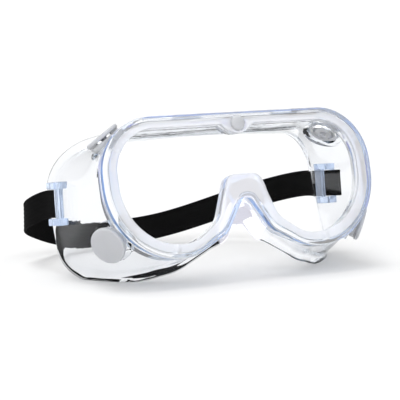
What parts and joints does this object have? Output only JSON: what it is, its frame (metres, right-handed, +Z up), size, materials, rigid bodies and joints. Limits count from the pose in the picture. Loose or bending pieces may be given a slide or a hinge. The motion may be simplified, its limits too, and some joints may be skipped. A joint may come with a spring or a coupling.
{
  "type": "chemical splash goggles",
  "caption": "Clear soft-framed splash goggles with a curved lens, capped indirect vents, a lens button and an adjustable elastic head strap.",
  "frame": {"origin": "centre of the bounding box in plan, on the surface the goggles stand on", "axes": "+Z up, the lens faces -Y, +X across the face towards the side with the longer strap tail"},
  "size_m": [0.1694, 0.1303, 0.084],
  "materials": {
    "clear_pvc": "clear, slightly blue at the edges",
    "clear_lens": "clear, polished",
    "milky_plastic": "translucent, milky, satin",
    "vent_mesh": "translucent",
    "elastic": "woven, matt"
  },
  "bodies": {
    "goggles": {"rim": "clear_pvc", "skirt": "clear_pvc", "lens": "clear_lens", "lens_button_washer": "milky_plastic", "strap_lug_right": "clear_pvc", "strap_lug_left": "clear_pvc", "vent_seat_upper_right": "milky_plastic", "vent_seat_upper_left": "milky_plastic", "vent_baffle_upper_right": "vent_mesh", "vent_baffle_upper_left": "vent_mesh", "vent_seat_lower_right": "milky_plastic", "vent_seat_lower_left": "milky_plastic", "vent_baffle_lower_right": "vent_mesh", "vent_baffle_lower_left": "vent_mesh", "strap_end_right": "elastic", "strap_end_left": "elastic"},
    "lens_button": {"lens_button": "milky_plastic"},
    "strap": {"strap_loop": "elastic"},
    "cap_upper_right": {"vent_cap_upper_right": "milky_plastic"},
    "cap_upper_left": {"vent_cap_upper_left": "milky_plastic"},
    "cap_lower_right": {"vent_cap_lower_right": "milky_plastic"},
    "cap_lower_left": {"vent_cap_lower_left": "milky_plastic"}
  },
  "joints": [
    {"name": "lens_button_pull", "type": "slide", "parent": "goggles", "child": "lens_button", "axis": [0, -0.9627, 0.2706], "range_m": [0, 0.006]},
    {"name": "cap_upper_right_pull", "type": "slide", "parent": "goggles", "child": "cap_upper_right", "axis": [0.5309, 0.351, 0.7713], "range_m": [0, 0.006]},
    {"name": "cap_upper_left_pull", "type": "slide", "parent": "goggles", "child": "cap_upper_left", "axis": [-0.5309, 0.351, 0.7713], "range_m": [0, 0.006]},
    {"name": "cap_lower_right_pull", "type": "slide", "parent": "goggles", "child": "cap_lower_right", "axis": [0.8101, -0.5095, -0.29], "range_m": [0, 0.006]},
    {"name": "cap_lower_left_pull", "type": "slide", "parent": "goggles", "child": "cap_lower_left", "axis": [-0.8101, -0.5095, -0.29], "range_m": [0, 0.006]},
    {"name": "strap_swing", "type": "hinge", "parent": "goggles", "child": "strap", "pos_m": [0, 0.00435, 0.036], "axis": [1, 0, 0], "range_deg": [-20, 25]}
  ]
}
